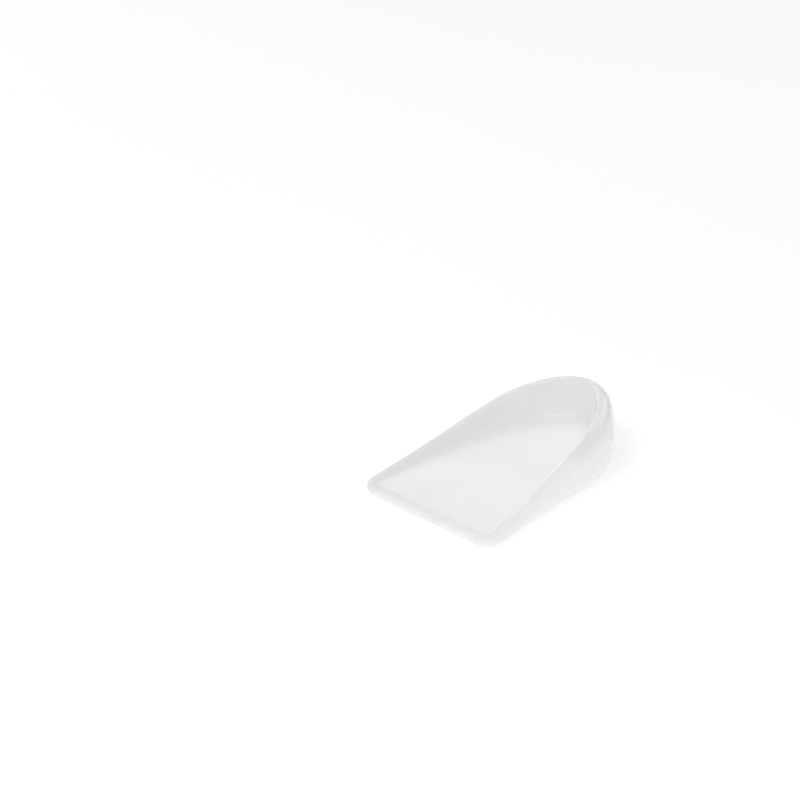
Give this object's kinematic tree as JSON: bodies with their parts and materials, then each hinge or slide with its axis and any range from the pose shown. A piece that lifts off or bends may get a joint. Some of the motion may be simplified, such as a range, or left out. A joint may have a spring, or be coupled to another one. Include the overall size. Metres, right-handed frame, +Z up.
{
  "type": "heel cup",
  "caption": "Clear soft heel cup with a thick cushioned bowl, a high rounded wall round the back of the heel and a thin open front edge.",
  "frame": {"origin": "under the middle of the cup's box, on the surface that it rests on", "axes": "+Y from the open front edge to the back of the heel, +Z up out of the bowl, +X to the cup's left seen from its front"},
  "size_m": [0.0668, 0.0998, 0.0276],
  "materials": {
    "silicone": "clear milky silicone, smooth and glossy"
  },
  "bodies": {
    "root": {"heel_cup": "silicone"}
  },
  "joints": []
}
